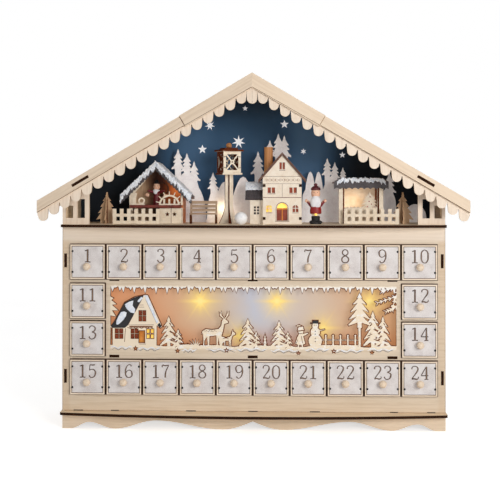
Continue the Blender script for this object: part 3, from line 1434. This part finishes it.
    def marks(self) -> None:
        """Draw the burnt marks of the cottage, the firs and the figures, and the snowman's black ones."""
        eave = self.on_cottage([(0.345 + 0.06 * i, 0.375 + 0.012 * (-1) ** i) for i in range(10)])
        burnt = [line(eave, 0.7)]
        for first, last, width in (
                ((0.38, 0.425), (0.9, 0.43), 0.6), ((0.665, 0.93), (0.36, 0.42), 0.7),
                ((0.735, 0.9), (0.965, 0.455), 0.7), ((0.31, 0.36), (0.29, 0.11), 0.7),
                ((0.025, 0.35), (0.03, 0.16), 1.4), ((0.59, 0.76), (0.7, 0.76), 0.45),
                ((0.6, 0.8), (0.69, 0.8), 0.45), ((0.6, 0.07), (0.74, 0.07), 0.6)):
            burnt.append(line(self.on_cottage([first, last]), width))
        burnt += self.fir_marks() + self.figure_marks()
        fixed(drawn(burnt, self.face, 0.14), "picture_marks", "burnt_edge_ply", Coat.RIM)
        x0 = self.across(0.7186)
        brim, crown, (low, mid, top) = 5.0, 3.2, (119.0, 120.0, 122.5)
        hat = plate([(x0 + x, z) for x, z in (
            (-brim, low), (brim, low), (brim, mid), (crown, mid), (crown, top), (-crown, top),
            (-crown, mid), (-brim, mid))], self.face - 0.2, 0.22)
        buttons = ((-1.1, 26.4, 0.42), (1.1, 26.4, 0.42), (0, 19.6, 0.55), (0, 16.2, 0.55),
                   (0, 11.6, 0.6), (0, 8.0, 0.6))
        spots = [turned([(r, 0), (r, 0.12), (r * 0.6, 0.2)], (x0 + x, self.face, self.foot + z), 10,
                        (90, 0, 0)) for x, z, r in buttons]
        fixed(merged([hat] + spots), "snowman_marks", "shingle_paint", Coat.BLACK)

    def build(self) -> None:
        """Make the outlines, the cottage and the marks."""
        self.outlines()
        self.cottage_parts()
        self.ground()
        self.marks()


@dataclass
class Gable(Assembly):
    """Roof boards, fascia, scallops, gable windows and the night sky with its stars.

    The crown is given by three corners of its right end, and the stars by place, height, radius and
    number of points.
    """

    sky: float = 78.0
    face: float = -26.0
    pitch: float = 30.5
    eave: Point2 = (237.5, 243.2)
    crown: tuple[Point2, ...] = ((79.9, 349.0), (73.9, 338.9), (1.1, 380.5))
    stars: tuple[tuple[float, float, float, int], ...] = (
        (-11.5, 365.5, 3.4, 5), (-53.9, 345.2, 6.2, 7), (-19.3, 325.3, 8.3, 7), (-62.8, 316.4, 5.6, 5),
        (35.6, 346.4, 5.3, 5), (58.3, 313.8, 3.8, 6), (104.8, 309.6, 3.9, 5))

    def dress(self) -> None:
        """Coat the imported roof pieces."""
        dress("fascia_boards", [Coat.FASCIA_LEFT, Coat.FASCIA_RIGHT, Coat.TAN_PLY],
              lambda m, n, c: int(m.x > 0) if abs(n.y) > FACING or n.z > 0.3 else 2)
        dress("valance", [Coat.SCALLOP, Coat.TAN_PLY], faces_and_edges(1))
        dress("gable_windows", [Coat.SCALLOP, Coat.TAN_PLY], faces_and_edges(1))
        dress("sky_wall", [Coat.SKY, Coat.INNER_PLY], lambda m, n, c: 0 if n.y < -FACING else 1)
        dress("roof_panels", [Coat.TAN_DEEP, Coat.CHAR, Coat.ROOF_PLY],
              lambda m, n, c: 1 if n.y < -FACING and m.y < -25 else 2 if n.z > 0.5 else 0)

    def build(self) -> None:
        """Make the stars, and the scorched lines along the fascia's foot and at the crown's ends."""
        stars = [plate(star_outline(x, z, radius, points, 0.42 if points < 7 else 0.36),
                       self.sky - 0.35, 0.33)
                 for x, z, radius, points in self.stars]
        fixed(merged(stars), "sky_stars", "white_paint", Coat.STAR)
        slope = math.tan(math.radians(self.pitch))
        start, end = self.eave[0] - 0.4, self.crown[1][0] + 1.6
        foot = self.eave[1] + 0.5
        lines = []
        for side in (-1, 1):
            lines.append(line([(side * start, foot), (side * end, foot + (start - end) * slope)], 0.55))
            lines.append(line([(side * (x - 0.5), z + 0.8) for x, z in self.crown[1:]], 0.5))
        left, right = [[(side * x, z) for x, z in self.crown[:2]] for side in (-1, 1)]
        lines.append(line(left, 0.95))
        fixed(drawn(lines, self.face, 0.12, False), "fascia_lines", "burnt_edge_ply", Coat.BURNT)
        fixed(drawn([line(right, 0.75)], self.face, 0.12, False), "crown_seam", "burnt_edge_ply", Coat.SEAM)


@dataclass
class Town(Assembly):
    """Snowy hills, huts, house, lantern and people of the stage.

    Houses and people are given by place, depth of the front or middle, and height over the floor. The
    levels are where one finish gives way to the next, as shares of the height for the people. Windows
    are given by place and sill as shares of half the house's width and of its wall. The house's rails
    are heights, its arch has a half width, a spring and a sill, and its frieze a half width, a height
    and a swing.
    """

    floor: float = 229.5
    hut: Point3 = (-112.3, 28.0, 70.0)
    hut_pitch: float = 43.5
    hut_half: float = 41.5
    hut_depth: float = 35.0
    house: Point3 = (33.0, 13.0, 81.5)
    house_half: float = 22.0
    house_tabs: Point3 = (20.5, 0.12, 0.83)
    tab_slack: float = 1.7
    leaf: Point2 = (8.4, 27.0)
    leaf_depth: Point2 = (16.05, 18.3)
    rails: Point3 = (259.6, 275.2, 283.4)
    arch: Point3 = (7.0, 247.2, 232.8)
    transom: float = 246.0
    frieze: Point3 = (20.0, 279.4, 1.3)
    wall_h: float = 52.53
    stall: Point3 = (123.0, 26.0, 46.0)
    annex: Point3 = (3.6, 21.0, 28.5)
    figure: Point3 = (71.0, 17.0, 46.0)
    figure_levels: tuple[float, ...] = (0.2, 0.255, 0.44, 0.66, 0.84)
    figure_reach: float = 6.9
    helper: Point3 = (-113.8, 45.5, 30.0)
    helper_levels: tuple[float, ...] = (0.56, 0.68, 0.84)
    helper_foot: float = 21.0
    lantern_levels: Point2 = (82.8, 87.5)
    counter: Point2 = (17.5, 21.2)
    chimney: Point3 = (-15.8, 30.0, 316.0)
    windows: tuple[Point2, ...] = ((-0.56, 0.67), (0.56, 0.67), (0, 1.18), (0.68, 0.26), (-0.68, 0.26))
    window_w: tuple[float, ...] = (0.38, 0.38, 0.28, 0.3, 0.3)

    def dress(self) -> None:
        """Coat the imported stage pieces."""
        edge = faces_and_edges(1)
        dress("forest_cutouts", [Coat.HILL])
        dress("fences", [Coat.CREAM, Coat.TAN_PLY], edge)
        dress("crossed_trees", [Coat.TREE, Coat.RUST], edge)
        dress("workshop_walls", [Coat.CREAM, Coat.HUT_IN, Coat.COUNTER, Coat.RUST], self.hut_face)
        dress("workshop_roof", [Coat.SHINGLE, Coat.ROOF_BROWN], lambda m, n, c: 0 if n.z > 0.2 else 1)
        dress("workshop_figure", [Coat.DARK_RED, Coat.WHITE, Coat.SKIN, Coat.BLACK], self.helper_face)
        dress("workshop_goods", [Coat.CREAM, Coat.TAN_PLY], edge)
        dress("bench", [Coat.BENCH, Coat.BURNT],
              lambda m, n, c: 1 if m.z < self.floor + 9 and abs(n.z) < FACING else 0)
        dress("lantern", [Coat.CREAM, Coat.RUST, Coat.CHIMNEY], self.lantern_face)
        dress("house_walls", [Coat.HOUSE, Coat.RUST, Coat.PANE, Coat.CHAR, Coat.LEAF], self.house_face)
        dress("house_roof", [Coat.ROOF_BROWN, Coat.CHIMNEY, Coat.FASCIA], self.house_roof_face)
        dress("annex", [Coat.HOUSE, Coat.SHINGLE, Coat.HUT_WOOD], self.annex_face)
        dress("bearded_figure", [Coat.BLACK, Coat.CREAM, Coat.RED, Coat.DARK_RED, Coat.SKIN, Coat.HAT],
              self.figure_face)
        dress("stall_walls", [Coat.CREAM, Coat.RUST, Coat.STALL_IN, Coat.HUT_WOOD], self.stall_face)
        dress("stall_roof", [Coat.SHINGLE, Coat.ROOF_BROWN],
              lambda m, n, c: 0 if n.y < -FACING or n.z > 0.5 else 1)
        dress("snow_ball", [Coat.BALL])

    def hut_face(self, middle: Vector, normal: Vector, corners: list[Vector]) -> int:
        """Choose a finish for the workshop: cream front, orange inside, dark red counter, brown edges."""
        on_counter = self.counter[0] < middle.z - self.floor < self.counter[1]
        if normal.y < -FACING and middle.y < self.hut[1] + 0.1:
            return 2 if on_counter and middle.y < self.hut[1] - 1 else 0
        return 2 if on_counter else 1

    def helper_face(self, middle: Vector, normal: Vector, corners: list[Vector]) -> int:
        """Choose a finish for the figure in the workshop by its height."""
        share = (middle.z - self.floor - self.helper_foot) / self.helper[2]
        return sum(share >= limit for limit in self.helper_levels)

    def lantern_face(self, middle: Vector, normal: Vector, corners: list[Vector]) -> int:
        """Choose a finish for the lantern: pale front, brown sides and roof, pale ball."""
        eave, ridge = self.lantern_levels
        height = middle.z - self.floor
        if height > ridge:
            return 2
        if height > eave:
            return 1
        return 0 if normal.y < -0.8 or abs(normal.z) > FACING else 1

    def house_face(self, middle: Vector, normal: Vector, corners: list[Vector]) -> int:
        """Choose a finish for the house: cream walls, red door leaves, dark tab ends."""
        x0, y0, _ = self.house
        front, back = self.leaf_depth
        half, height = self.leaf
        if front < middle.y < back and abs(middle.x - x0) < half and middle.z < self.floor + height:
            return 4
        if normal.y < -FACING and middle.y < y0 + 0.2:
            off, *shares = self.house_tabs
            beside = all(abs(abs(c.x - x0) - off) < self.tab_slack for c in corners)
            level = any(all(abs(c.z - self.floor - share * self.wall_h) < self.tab_slack for c in corners)
                        for share in shares)
            return 3 if beside and level else 0
        return 0 if abs(normal.x) > FACING and abs(middle.x - x0) > self.house_half - 1 else 1

    def house_roof_face(self, middle: Vector, normal: Vector, corners: list[Vector]) -> int:
        """Choose a finish for the house's roof boards and its chimney."""
        x, y, foot = self.chimney
        beside = abs(middle.x - (self.house[0] + x)) < 5.1 and abs(middle.y - y) < 5.2
        if beside and (abs(normal.z) < 0.1 or middle.z > foot):
            return 1
        return 2 if normal.z > 0.5 else 0

    def annex_face(self, middle: Vector, normal: Vector, corners: list[Vector]) -> int:
        """Choose a finish for the annex."""
        if middle.z > self.floor + self.annex[2] - 0.5 or middle.y < self.annex[1] - 0.4:
            return 1
        return 0 if normal.y < -FACING else 2

    def figure_face(self, middle: Vector, normal: Vector, corners: list[Vector]) -> int:
        """Choose a finish for the bearded figure by its height and reach."""
        share = (middle.z - self.floor) / self.figure[2]
        if Vector((middle.x - self.figure[0], middle.y - self.figure[1])).length > self.figure_reach:
            return 4 if share > 0.54 else 3
        return sum(share >= limit for limit in self.figure_levels)

    def stall_face(self, middle: Vector, normal: Vector, corners: list[Vector]) -> int:
        """Choose a finish for the stall: cream fronts, brown sides, lit inside."""
        x, y, z = middle.x - self.stall[0], middle.y, middle.z - self.floor
        if y > 31 and abs(x) < 18.8:
            if y < 36 and z > 15.5:
                return 0
            return 2 if abs(normal.x) < FACING or x < 0 else 1
        return 0 if normal.y < -FACING else 1

    def hut_roof(self) -> None:
        """Lay snow and a shingled fringe on the workshop's roof."""
        x0, y0, ridge = self.hut
        lean = math.radians(self.hut_pitch)
        slope = math.tan(lean)
        top = self.floor + ridge
        steps = 46
        snow, fringe = [], []
        for side in (-1, 1):
            def on_roof(u: float, v: float, side: int = side) -> Vector:
                run = self.hut_half * v * (0.93 + 0.05 * swell(u * 9, side, 3))
                return at(x0 + side * run, y0 - 4.2 + u * (self.hut_depth + 4.4), top - run * slope)

            def on_front(u: float, v: float, side: int = side) -> Vector:
                run = self.hut_half * u * 0.985
                drop = 7.8 + 4.6 * swell(u * 17 + side, 1.3, 0) + 3.2 * swell(u * 43, side, 5)
                rise = 2.1 + 1.6 * swell(u * 21, 4.0 + side, 2) + 1.0 * swell(u * 53, 1.0, side)
                return at(x0 + side * run, y0 - 4.0 - 0.9, top - run * slope + rise - v * drop)

            snow.append(rough_slab(on_roof, (side * math.sin(lean), 0, math.cos(lean)), 1.7, (26, 30), 0.8,
                                   3.0 + side))
            snow.append(rough_slab(on_front, (0, -1, 0), 1.3, (90, 14), 1.2, 7.0 + side))
            runs = [self.hut_half * i / steps for i in range(steps + 1)]
            upper = [(x0 + side * run, top - run * slope + 0.2) for run in runs]
            lower = [(x, z - 7.6 - 2.2 * abs(math.sin(i * 0.9))) for i, (x, z) in enumerate(upper)]
            fringe.append(plate(upper + lower[::-1], y0 - 4.9, 0.85))
        fixed(merged(snow), "workshop_snow", "white_paint", Coat.SNOW)
        fixed(merged(fringe), "workshop_shingles", "shingle_paint", Coat.SHINGLE)

    def stall_snow(self) -> None:
        """Lay snow on the stall's roof with lumps along its front board."""
        x0, y0, height = self.stall
        top = self.floor + height + 2.0

        def on_roof(u: float, v: float) -> Vector:
            return at(x0 - 29.5 + 59 * u, y0 - 1.8 + v * 37.0, top)

        def on_front(u: float, v: float) -> Vector:
            x = -27.5 + 55 * u
            crest = 6.4 + 2.0 * swell(u * 13, 2.0, 0) + 1.4 * swell(u * 37, 0, 4)
            drop = 4.6 + 3.4 * swell(u * 17, 6.0, 0) + 1.6 * swell(u * 41, 3.0, 0)
            ends = min(max(abs(x) - 22, 0), 5) * 0.7
            return at(x0 + x, y0 - 4.3, self.floor + height + crest - ends - v * drop)

        snow = [rough_slab(on_roof, (0, 0, 1), 1.6, (40, 26), 0.9, 1.0),
                rough_slab(on_front, (0, -1, 0), 1.2, (80, 12), 0.9, 4.0)]
        fixed(merged(snow), "stall_snow", "white_paint", Coat.SNOW)

    def annex_snow(self) -> None:
        """Lay snow on the upper part of the annex's roof and two rows of shingles below it."""
        tilt = math.radians(50)
        left = -9.1
        along = Vector((0, math.cos(tilt), math.sin(tilt)))
        up = Vector((0, -math.sin(tilt), math.cos(tilt)))
        foot = self.floor + self.annex[2] + 0.1
        start = at(left, self.annex[1], foot) + up * 2.0 * MM

        def on_roof(u: float, v: float) -> Vector:
            low = 10.5 + 1.6 * swell(u * 7, 2, 0)
            return start + Vector((u * 20.0 * MM, 0, 0)) + along * (low + v * (23.0 - low)) * MM

        snow = rough_slab(on_roof, tuple(up), 1.3, (20, 14), 0.6, 2.0)
        fixed(snow, "annex_snow", "white_paint", Coat.SNOW)
        tiles = []
        for reach, shift, lift in ((0.6, 0.0, 0.0), (5.6, 0.9, 0.5)):
            for i in range(7):
                x = left + 0.2 + i * 2.85 + shift
                tile = block((x, 0, 0), (x + 2.6, 6.4, 0.8), 0.35)
                for vertex in tile.data.vertices:
                    flat = local(vertex.co)
                    vertex.co = (at(flat.x, self.annex[1], foot) + up * (1.95 + flat.z + lift) * MM
                                 + along * (reach - 1.6 + flat.y) * MM)
                tiles.append(tile)
        fixed(merged(tiles), "annex_shingles", "shingle_paint", Coat.SHINGLE)

    def house_parts(self) -> None:
        """Glaze the house and draw its frieze."""
        x0, y0, _ = self.house
        glass = (y0 + 3.05, y0 + 3.5)
        lap = 0.4
        red = []
        for (u, v), width, height in zip(self.windows[:4], self.window_w, (0.12, 0.12, 0.15, 0.15)):
            x, z = x0 + u * self.house_half, self.floor + v * self.wall_h
            half = width * self.house_half / 2
            red.append(block((x - half - lap, glass[0], z - lap),
                             (x + half + lap, glass[1], z + height * self.wall_h + lap), 0.1))
        foot, top = self.floor + 0.26 * self.wall_h - lap, self.floor + 0.41 * self.wall_h + lap
        left, half = x0 - 15, 3.7
        lit = [block((left - half, glass[0], foot), (left + half, glass[1], top), 0.1),
               plate(arc((x0, 247.3), 5.9, 12), y0 + 2.75, 0.25)]
        fixed(joined([merged(red), merged(lit)]), "house_panes", "brown_stain", Coat.PANE, Coat.LIT)
        reach = self.house_half - 0.4
        lines = [level_line(x0 - reach, x0 + reach, z, width)
                 for z, width in zip(self.rails, (0.7, 0.4, 0.4))]
        lines.append(upright_line(x0, *self.rails[:2], 0.35))
        for (u, v), width in zip(self.windows, self.window_w):
            x, sill = x0 + u * self.house_half, self.floor + v * self.wall_h - 1.0
            lines.append(level_line(x - width * 12, x + width * 12, sill, 0.6))
        half, spring, sill = self.arch
        lines.append(line(arc((x0, spring), half, 8), 0.5))
        lines += [upright_line(x, spring, sill + 0.7, 0.5) for x in (x0 - half, x0 + half)]
        lines.append(level_line(x0 - half - 1, x0 + half + 1, sill, 0.8))
        fixed(drawn(lines, y0, 0.12, False), "house_lines", "burnt_edge_ply", Coat.RUST)
        half, middle, swing = self.frieze
        frieze = [line([(x0 - half + i * 2, middle + swing * math.sin(i * math.pi / 2 + phase))
                        for i in range(21)], 0.32) for phase in (0.0, math.pi)]
        frieze += [upright_line(x0 - 17.5 + 5 * i, middle - 1.2, middle + 1.2, 0.5) for i in range(8)]
        fixed(drawn(frieze, y0, 0.12), "house_frieze", "burnt_edge_ply", Coat.SEAM)
        hub = self.transom + 0.6
        bars = [upright_line(x0, sill + 0.8, self.transom - 0.4, 1.3),
                level_line(x0 - 5.9, x0 + 5.9, self.transom, 1.0), upright_line(x0, hub, hub + 6.0, 0.7)]
        bars += [line([(x0, hub), (x0 + side * 3.9, hub + 4.4)], 0.6) for side in (-1, 1)]
        fixed(drawn(bars, y0 + 2.95, 0.4, False), "door_bars", "cream_paint", Coat.DOOR)

    def annex_panes(self) -> None:
        """Put dark glass behind the annex's small panes."""
        x0, y0, _ = self.annex
        pane = block((x0 - 3.6, y0 + 2.1, self.floor + 9.4), (x0 + 3.6, y0 + 2.5, self.floor + 21.6), 0.1)
        fixed(pane, "annex_glass", "brown_stain", Coat.PANE_DARK)

    def bearded(self) -> None:
        """Give the bearded figure its beard, hands, nose, hat, eyes, buckle and toes."""
        x, y, _ = self.figure
        base = self.floor
        beard = [ball((x, y - 2.9, base + 24.6), 6.2, (0.98, 0.62, 1.32), 0.35, 2.0),
                 ball((x, y - 3.2, base + 17.6), 3.4, (1, 0.7, 1.0), 0.25, 4.0)]
        fixed(merged(beard), "figure_beard", "white_paint", Coat.WHITE)
        hands = [ball((x + s * 10.6, y - 0.8, base + 26.4), 1.75, (0.9, 0.9, 1.15), 0.1, s)
                 for s in (-1, 1)]
        nose = ball((x, y - 5.3, base + 34.2), 0.75)
        fixed(merged(hands + [nose]), "figure_skin", "red_paint", Coat.SKIN)
        bobble = ball((x, y, base + 44.4), 2.1, (1, 1, 0.95), 0.15, 1.0)
        brim = turned([(5.2, 0), (5.55, 0.7), (5.5, 1.8), (5.1, 2.3)], (x, y, base + 38.4), 28)
        fixed(merged([bobble, brim]), "figure_hat", "red_paint", Coat.HAT)
        eyes = [ball((x + s * 1.9, y - 4.75, base + 35.7), 0.42) for s in (-1, 1)]
        buckle = block((x - 1.4, y - 7.1, base + 9.9), (x + 1.4, y - 6.2, base + 12.2), 0.25)
        toes = [ball((x + s * 3.9, y - 2.6, base + 2.2), 3.3, (1.05, 1.3, 0.66)) for s in (-1, 1)]
        fixed(joined([merged(eyes + toes), buckle]), "figure_trims", "shingle_paint", Coat.BLACK, Coat.LIT)

    def worker(self) -> None:
        """Give the figure in the workshop a collar, hat, face, eyes, sleeves and hands."""
        x, y, _ = self.helper
        base = self.floor + self.helper_foot
        collar = [ball((x - 0.4, y - 1.6, base + 16.6), 4.1, (0.98, 0.7, 0.5), 0.25, 3.0),
                  ball((x - 1.2, y - 3.4, base + 15.0), 2.3, (1, 0.5, 1.1), 0.2, 5.0)]
        fixed(merged(collar), "helper_collar", "white_paint", Coat.WHITE)
        hat = turned([(2.9, 0), (3.3, 0.4), (2.6, 1.5), (1.6, 2.6), (0.9, 3.2), (0.2, 3.3)],
                     (x, y, base + 24.4), 20)
        fixed(hat, "helper_hat", "shingle_paint", Coat.BLACK)
        face = [ball((x, y - 0.5, base + 21.0), 3.95, (1, 0.95, 1.0), 0.1, 2.0),
                ball((x + 0.3, y - 4.3, base + 20.4), 0.7)]
        fixed(merged(face), "helper_face", "red_paint", Coat.SKIN)
        eyes = [ball((x + s * 1.5, y - 4.0, base + 22.0), 0.4) for s in (-1, 1)]
        fixed(merged(eyes), "helper_eyes", "shingle_paint", Coat.BLACK)
        sleeve = [(1.5, 0), (1.4, 4), (1.2, 8.0), (0.8, 8.6)]
        arms = [turned(sleeve, (x + s * 2.6, y - 1.5, base + 14.6), 14, (28, s * 72, 0)) for s in (-1, 1)]
        fixed(merged(arms), "helper_sleeves", "red_paint", Coat.DARK_RED)
        hands = [ball((x + s * 10.6, y - 4.6, base + 10.4 + (1 - s) * 0.6), 2.3, (1.1, 0.8, 1), 0.2, s)
                 for s in (-1, 1)]
        fixed(merged(hands), "helper_hands", "red_paint", Coat.SKIN)

    def stall_things(self) -> None:
        """Set out the goods on the stall's table and burn the seams of its posts."""
        x0, _, _ = self.stall
        table = self.floor + 16.5
        goods = [ball((x0 - 15 + 4.1 * i, 33.5 + (i % 2), table + 1.5), 1.45, (1, 1, 0.9), 0.1, i)
                 for i in range(4)]
        baubles = [ball((x0 + 10.3 + dx, 32.6, table + dz), 0.7)
                   for dx, dz in ((-2.5, 3.0), (2.2, 5.8), (-0.6, 9.0), (5.4, 2.4), (0.6, 14.2))]
        fixed(joined([merged(goods), merged(baubles)]), "stall_goods", "cream_paint", Coat.KNOB, Coat.RED)
        posts = [block((x0 + s * 20.0 - 1.0, 28.15, self.floor + 0.4),
                       (x0 + s * 20.0 + 1.0, 28.6, self.floor + 42.5), 0.1)
                 for s in (-1, 1)]
        fixed(merged(posts), "stall_seams", "burnt_edge_ply", Coat.RUST)

    def workshop_things(self) -> None:
        """Draw the workshop's cupboard and hoop, and lay the edge of its counter."""
        x0 = self.hut[0] + 31
        seams = [upright_line(x0 - off, self.floor + 0.6, self.floor + 17.6, width)
                 for off, width in ((27.2, 0.5), (13.6, 0.6), (1.0, 0.5))]
        fixed(drawn(seams, 28.0, 0.12, False), "cupboard_seams", "burnt_edge_ply", Coat.RUST)
        ring = [(self.hut[0] + 3.4 + 7.2 * math.sin(i * math.pi / 12),
                 self.floor + 39.5 + 7.2 * math.cos(i * math.pi / 12))
                for i in range(25)]
        fixed(drawn([line(ring, 1.4)], 60.4, 0.7), "workshop_hoop", "brown_stain", Coat.ROOF_BROWN)
        top = block((self.hut[0] - 29.6, 23.4, self.floor + 18.2),
                    (self.hut[0] + 29.6, 24.05, self.floor + 21.3), 0.3)
        fixed(top, "counter_edge", "brown_stain", Coat.COUNTER)

    def build(self) -> None:
        """Make the snow, panes, people and small things."""
        self.hut_roof()
        self.stall_snow()
        self.annex_snow()
        self.house_parts()
        self.annex_panes()
        self.bearded()
        self.worker()
        self.stall_things()
        self.workshop_things()


def main() -> None:
    """Build and dress each part of the calendar and report it."""
    logging.basicConfig(level=logging.INFO, format="%(name)s: %(message)s")
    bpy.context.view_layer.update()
    assemblies: list[Assembly] = [Studio(), Carcass(), DrawerBank(), PictureWindow(), Gable(), Town()]
    for assembly in assemblies:
        assembly.dress()
        assembly.build()
        LOG.info("%s ready", type(assembly).__name__)
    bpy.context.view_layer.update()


if __name__ == "__main__":
    main()
